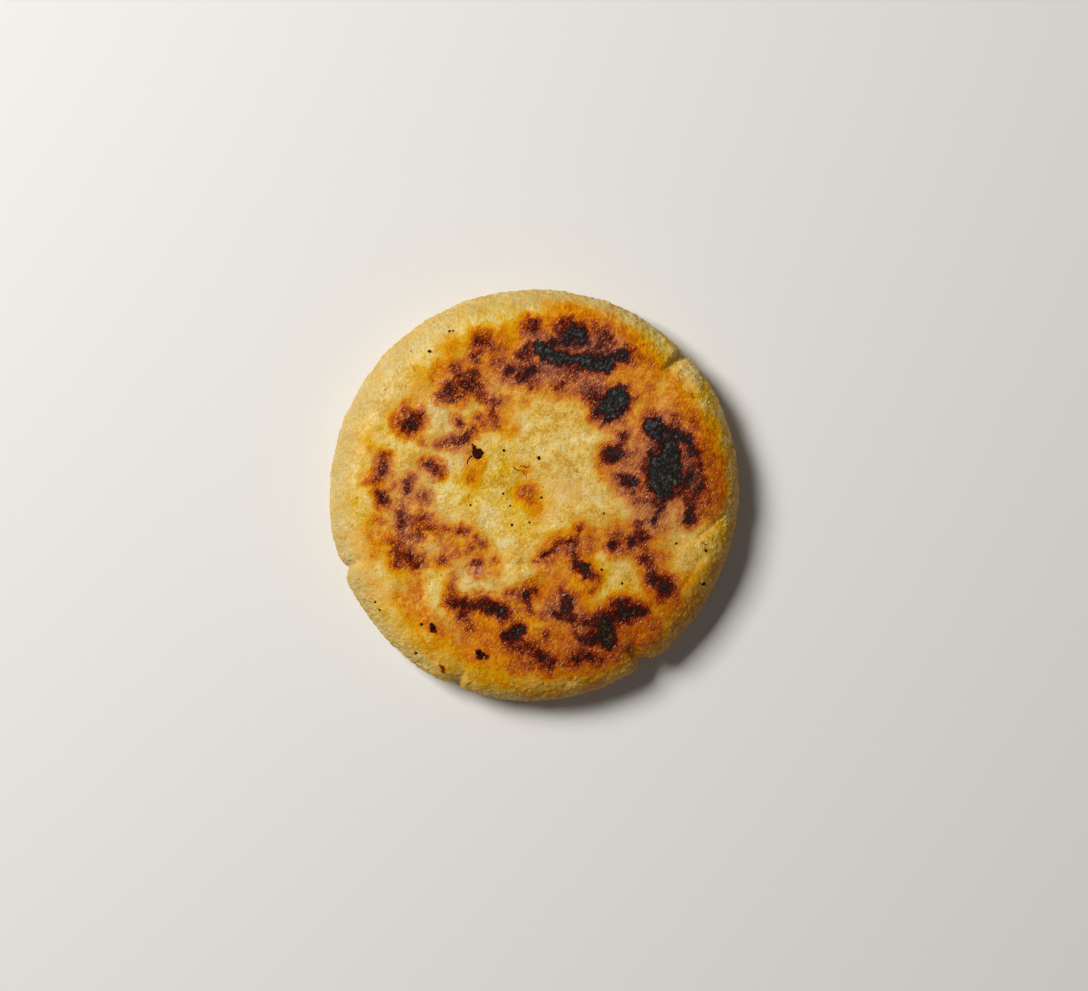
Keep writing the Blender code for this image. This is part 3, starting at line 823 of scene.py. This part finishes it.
def scatterOver(rng, tries, nearest, furthest):
    # random spots above the cake, as rows of x, y and z
    turn = rng.uniform(0, 2 * math.pi, tries)
    away = cakeRadius * np.sqrt(rng.uniform(nearest ** 2, furthest ** 2, tries))
    spots = np.stack([away * np.cos(turn), away * np.sin(turn), np.zeros(tries)], axis=1)
    return spots + np.array([cakeMiddle.x, cakeMiddle.y, cakeHeight + 5 * mm])


def crumbShapes(count, roughness, subdivisions=1):
    # small uneven lumps, one unit wide, that the copies are made from
    shapes = []
    for number in range(count):
        bpy.ops.object.select_all(action="DESELECT")
        bpy.ops.mesh.primitive_ico_sphere_add(subdivisions=subdivisions, radius=0.5, location=(0, 0, 0))
        crumb = bpy.context.object
        bpy.ops.object.mode_set(mode="EDIT")
        bpy.ops.mesh.select_all(action="SELECT")
        bpy.ops.transform.vertex_random(offset=roughness, uniform=1.0, seed=number)
        bpy.ops.object.mode_set(mode="OBJECT")
        faces = np.array([tuple(face.vertices) for face in crumb.data.polygons])
        shapes.append((pointsOf(crumb.data), faces))
        bpy.data.objects.remove(crumb)
    return shapes


def copyShapes(name, rng, shapes, places, normals, turns, sizes, sunk):
    # one joined mesh: each copy stands on its normal, turned, and sunk by a share of its height
    along = np.stack([np.cos(turns), np.sin(turns), np.zeros(len(turns))], axis=1)
    side = np.cross(normals, along)
    side /= np.linalg.norm(side, axis=1)[:, None]
    along = np.cross(side, normals)
    frames = np.stack([along, side, normals], axis=1) * sizes[:, :, None]
    centres = places + normals * (sizes[:, 2] * (0.5 - sunk))[:, None]
    chosen = rng.integers(0, len(shapes), len(places))
    vertices, faces, first = [], [], 0
    for number, (corners, shapeFaces) in enumerate(shapes):
        mine = chosen == number
        copies = corners @ frames[mine] + centres[mine][:, None, :]
        vertices.append(copies.reshape(-1, 3))
        steps = first + np.arange(mine.sum())[:, None, None] * len(corners)
        faces.append((shapeFaces[None] + steps).reshape(-1, shapeFaces.shape[1]))
        first += copies.shape[0] * len(corners)
    mesh = bpy.data.meshes.new(name)
    mesh.from_pydata(np.concatenate(vertices).tolist(), [], np.concatenate(faces).tolist())
    piece = bpy.data.objects.new(name, mesh)
    bpy.context.scene.collection.objects.link(piece)
    mesh.shade_smooth()
    print(name + ":", len(places), "copies")
    return piece


def paintLikeCrust(piece, cooler, paler):
    # the crust's own colours, with their painted shade and painted light, a little less toasted where the
    # piece stands proud of it
    places = pointsOf(piece.data)
    paintPoints(piece.data, "toast", np.clip(griddleHeat(places) - cooler, 0, 0.7))
    paintPoints(piece.data, "oilAndShade", oilSoakAndShade(places) * 0.8)
    paintPoints(piece.data, "pale", np.clip(rimPalenessAndLight(places) * 0.6 + paler, 0, 1))
    paintPoints(piece.data, "dry", dryness(places))


gritStyle = {
    "rimTries": 4400,
    "topTries": 2200,
    "length": (0.45 * mm, 1.15 * mm),
    "topLength": (0.3 * mm, 0.7 * mm),
    "width": (0.6, 0.9),  # shares of the length
    "height": (0.5, 0.75),
    "sunk": 0.74,  # the share of each that is buried
    "seed": 3,
}


def makeGrits(tree):
    # coarse grains of corn that show through the dough, most of all around the rim
    rng = np.random.default_rng(gritStyle["seed"])
    above = scatterOver(rng, gritStyle["topTries"], 0.0, 0.97)
    around = scatterOver(rng, gritStyle["rimTries"], 1.3, 1.3)
    around[:, 2] = cakeHeight * rng.uniform(0.04, 0.98, len(around))
    inward = -(around - np.array(cakeMiddle)) * np.array([1, 1, 0])
    inward[:, 2] = 0
    spots = np.concatenate([above, around])
    places, normals, kept = landOn(tree, spots, np.concatenate([straightDown(above), inward]))
    onRim = np.concatenate([np.zeros(len(above), bool), np.ones(len(around), bool)])[kept]
    heat = griddleHeat(places)
    keep = rng.random(len(places)) > smooth(0.15, 0.4, heat)
    places, normals, onRim = places[keep], normals[keep], onRim[keep]
    long = rng.uniform(*gritStyle["length"], len(places))
    long = np.where(onRim, long, rng.uniform(*gritStyle["topLength"], len(places)))
    wide = long * rng.uniform(*gritStyle["width"], len(long))
    high = long * rng.uniform(*gritStyle["height"], len(long))
    sizes = np.stack([long, wide, high], axis=1)
    turns = rng.uniform(0, math.pi, len(long))
    shapes = crumbShapes(4, 0.12)
    grits = copyShapes("cornGrits", rng, shapes, places, normals, turns, sizes, gritStyle["sunk"])
    paintLikeCrust(grits, 0.06, 0.15)
    return grits


threadStyle = {
    "tries": 3000,
    "length": (0.4 * mm, 1.5 * mm),
    "width": (0.1 * mm, 0.2 * mm),
    "turnSpread": 20,  # degrees
    "sunk": 0.45,
    "seed": 5,
}


def makeThreads(tree):
    # fine crisp ridges where the dough dragged on the griddle and fried
    rng = np.random.default_rng(threadStyle["seed"])
    spots = scatterOver(rng, threadStyle["tries"], 0.0, 0.92)
    lowSide = (spots[:, 1] - cakeMiddle.y - 0.35 * (spots[:, 0] - cakeMiddle.x)) / cakeRadius
    lowSide = smooth(0.4, -0.8, lowSide)  # most lie on the low side of the top
    below = spots * np.array([1, 1, 0]) + np.array([0, 0, 0.95 * cakeHeight])
    heat = griddleHeat(below)
    likely = smooth(0.2, 0.4, heat) * (1 - smooth(0.5, 0.7, heat)) * (0.05 + 0.95 * lowSide)
    spots = spots[rng.random(len(spots)) < likely]
    places, normals = landOn(tree, spots, straightDown(spots))[:2]
    long = rng.uniform(*threadStyle["length"], len(places))
    wide = rng.uniform(*threadStyle["width"], len(places))
    turns = np.radians(rng.normal(toasting["dragTurn"], threadStyle["turnSpread"], len(places)))
    sizes = np.stack([long, wide, wide * 0.9], axis=1)
    shapes = crumbShapes(5, 0.1)
    return copyShapes("crispThreads", rng, shapes, places, normals, turns, sizes, threadStyle["sunk"])


speckStyle = {
    "tries": 300,
    "length": (0.3 * mm, 0.8 * mm),
    "sunk": 0.6,
    "seed": 8,
}


def makeSpecks(tree):
    # flecks of corn skin in the bare dough
    rng = np.random.default_rng(speckStyle["seed"])
    spots = scatterOver(rng, speckStyle["tries"], 0.0, 0.98)
    places, normals = landOn(tree, spots, straightDown(spots))[:2]
    keep = rng.random(len(places)) > smooth(0.1, 0.3, griddleHeat(places))
    places, normals = places[keep], normals[keep]
    long = speckStyle["length"][0] + rng.random(len(places)) ** 2 * np.ptp(speckStyle["length"])
    sizes = np.stack([long, long * rng.uniform(0.3, 0.6, len(long)), long * 0.25], axis=1)
    turns = rng.normal(math.radians(20), 0.9, len(long))
    shapes = crumbShapes(3, 0.16)
    return copyShapes("branSpecks", rng, shapes, places, normals, turns, sizes, speckStyle["sunk"])


# jagged flakes of char, in the marks' millimetres: (x, y, length, width, turn in degrees)
charFlakes = [
    (-15.4, 12.6, 1, 0.8, 100), (-15.1, 11.9, 1.6, 1.2, 80), (-14.7, 11.1, 1.8, 1.6, 20),
    (-14, 11, 1.9, 1.6, 60), (-13.5, 10.7, 1.3, 1.6, 90), (-13.9, 10, 1.8, 1.5, 30),
    (-14.7, 10.1, 1.8, 1.5, 110), (-15.2, 10.7, 1.7, 1, 85), (-14.4, 9.5, 1.5, 1, 10),
    (-15.8, 9.8, 0.8, 0.5, 50), (-16.3, 9.3, 0.9, 0.45, 45), (-16.7, 8.7, 0.8, 0.4, 80),
    (-16.8, 8.1, 0.7, 0.36, 95), (-13.8, -39.4, 2.2, 1.5, 165), (-13, -39.8, 1.7, 1.3, 20),
    (-14.4, -39.1, 1, 1.1, 60), (-25.7, -32.6, 1.5, 1.3, 90), (-25.4, -33.1, 1.2, 1.1, 20),
    (-23, -43.2, 0.8, 0.5, 70), (-22.9, -43.8, 0.6, 0.4, 90), (-21.2, 41.3, 1.1, 0.7, 20),
    (-20.4, 41.4, 0.8, 0.5, 160),
]

# thin brown curls of burnt corn skin, each a few strokes long: (x, y, to x, to y, width)
burntCurls = [
    (-5.3, 7.3, -4.9, 6.8, 0.3), (-4.9, 6.8, -4.4, 6.3, 0.4), (-4, 6.5, -3.2, 6.2, 0.16),
    (-3.2, 6.2, -2.5, 5.6, 0.2), (-2.5, 5.6, -2.1, 4.9, 0.2), (-2.1, 4.9, -1.9, 4.1, 0.18),
    (-3.7, 7.2, -2.8, 7.4, 0.2), (-2.7, 7.3, -1.9, 7.1, 0.45), (-1.9, 7.1, -1.2, 7.5, 0.3),
    (-1.1, 7.8, -1.5, 8.6, 0.14), (12.6, -22.2, 13.4, -23.2, 0.16), (13.4, -23.2, 14.2, -24, 0.2),
    (41.4, -22, 43.4, -22.4, 0.25), (42, -11.8, 43.2, -12.4, 0.25), (39.4, 25.8, 40, 24.4, 0.4),
    (42.4, 27.4, 42.8, 26.6, 0.25), (-8.2, 5.2, -7.6, 4.7, 0.25), (-28.4, -12.8, -27.8, -13.4, 0.2),
    (-31.2, 36.4, -30.7, 36, 0.25),
]

burntStyle = {
    "height": 0.5,  # the share of each bit's width
    "sunk": 0.66,
    "curlLink": 0.3,  # mm, the curls are chains of links about this far apart
    "curlWobble": (0.04, 0.25),  # how far a link strays, in mm, and how far it turns
    "flakeSeed": 21,
    "curlSeed": 22,
}


def makeBurntBits(name, rows, rng, tree):
    # each row is a bit that lies half sunk in the crust: x, y, length, width and turn
    rows = np.array(rows)
    spots = np.column_stack([rows[:, :2] / markedRadius * cakeRadius, np.zeros(len(rows))])
    spots += np.array([cakeMiddle.x, cakeMiddle.y, cakeHeight + 5 * mm])
    places, normals, kept = landOn(tree, spots, straightDown(spots))
    long, wide, turns = rows[kept, 2:].T
    sizes = np.stack([long, wide, wide * burntStyle["height"]], axis=1) * mm
    shapes = crumbShapes(4, 0.08, 2)
    return copyShapes(name, rng, shapes, places, normals, turns, sizes, burntStyle["sunk"])


def makeCharSpecks(tree):
    # pinholes and burnt crumbs
    rng = np.random.default_rng(burntStyle["flakeSeed"])
    rows = [(x, y, long, wide, math.radians(turn)) for x, y, long, wide, turn in charFlakes]
    rows += [(x, y, 2.5 * halfWidth, 2.2 * halfWidth, rng.uniform(0, 3)) for x, y, halfWidth in pinholes]
    return makeBurntBits("charSpecks", rows, rng, tree)


def makeCurls(tree):
    rng = np.random.default_rng(burntStyle["curlSeed"])
    stray, twist = burntStyle["curlWobble"]
    rows = []
    for x, y, toX, toY, width in burntCurls:
        long = math.hypot(toX - x, toY - y)
        count = max(2, round(long / burntStyle["curlLink"]))
        for share in (np.arange(count) + 0.5) / count:
            wobble = rng.normal(0, stray, 2)
            spot = (x + (toX - x) * share + wobble[0], y + (toY - y) * share + wobble[1])
            turn = math.atan2(toY - y, toX - x) + rng.normal(0, twist)
            rows.append((*spot, 2.2 * long / count, width * rng.uniform(0.7, 1.2), turn))
    return makeBurntBits("burntCurls", rows, rng, tree)


studio = {
    "floorColour": linear(232, 231, 228),
    "keyPower": 18.6,
    "keySize": 0.5,
    "keyDistance": 1.3,
    "keyTurn": 146,  # degrees from +X
    "keyRise": 51,
    "fillPower": 1.5,
    "worldLight": 0.04,
    "viewWidth": 2.66,  # how many cakes wide the view is
    "viewShift": 0.0235,  # the cake stands this share of its width left of the middle
}


def makeFloor():
    bpy.ops.object.select_all(action="DESELECT")
    bpy.ops.mesh.primitive_plane_add(size=6, location=(cakeMiddle.x, cakeMiddle.y, -0.05 * mm))
    floor = bpy.context.object
    floor.name = "floor"
    material, tree, shader, coordinates = newFinish("pale table")
    feed(tree, shader, Base_Color=studio["floorColour"], Roughness=0.7)
    floor.data.materials.append(material)


def addLight(name, power, size, place, colour):
    data = bpy.data.lights.new(name, "AREA")
    data.energy = power
    data.size = size
    data.color = colour
    light = bpy.data.objects.new(name, data)
    bpy.context.scene.collection.objects.link(light)
    light.location = place
    light.rotation_euler = (Vector(cakeMiddle) - Vector(place)).to_track_quat("-Z", "Y").to_euler()


def makeLights():
    turn = math.radians(studio["keyTurn"])
    rise = math.radians(studio["keyRise"])
    aim = Vector((math.cos(turn) * math.cos(rise), math.sin(turn) * math.cos(rise), math.sin(rise)))
    place = cakeMiddle + aim * studio["keyDistance"]
    addLight("key", studio["keyPower"], studio["keySize"], place, (1.0, 0.98, 0.95))
    addLight("fill", studio["fillPower"], 1.2, cakeMiddle + Vector((0.9, -0.9, 0.8)), (0.97, 0.98, 1.0))
    world = bpy.data.worlds.new("room")
    bpy.context.scene.world = world
    world.use_nodes = True
    background = world.node_tree.nodes["Background"]
    background.inputs["Color"].default_value = (1, 1, 1, 1)
    background.inputs["Strength"].default_value = studio["worldLight"]
    bpy.context.scene.view_settings.view_transform = "Standard"


def makeCamera():
    data = bpy.data.cameras.new("camera")
    data.lens = 100
    data.sensor_width = 36
    data.sensor_fit = "HORIZONTAL"
    camera = bpy.data.objects.new("camera", data)
    bpy.context.scene.collection.objects.link(camera)
    cakeWidth = 2 * cakeRadius
    distance = studio["viewWidth"] * cakeWidth * data.lens / data.sensor_width
    aside = studio["viewShift"] * cakeWidth
    camera.location = (cakeMiddle.x + aside, cakeMiddle.y, cakeHeight / 2 + distance)
    camera.rotation_euler = (0, 0, 0)
    bpy.context.scene.camera = camera


crust = makeCrust()
raiseRelief(crust)
dough = crustFinish()
dress(crust, dough)
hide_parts("arepa")
print("crust is ready")
surface = surfaceOf(crust)
dress(makeThreads(surface), speckFinish("crisp fried thread", *speckColours["crisp fried thread"]))
dress(makeGrits(surface), dough)
dress(makeSpecks(surface), speckFinish("corn skin", *speckColours["corn skin"]))
dress(makeCharSpecks(surface), speckFinish("burnt crumb", *speckColours["burnt crumb"]))
dress(makeCurls(surface), speckFinish("burnt corn skin", *speckColours["burnt corn skin"]))
print("scattered pieces are ready")
makeFloor()
makeLights()
makeCamera()
print("floor, lights and camera are ready")
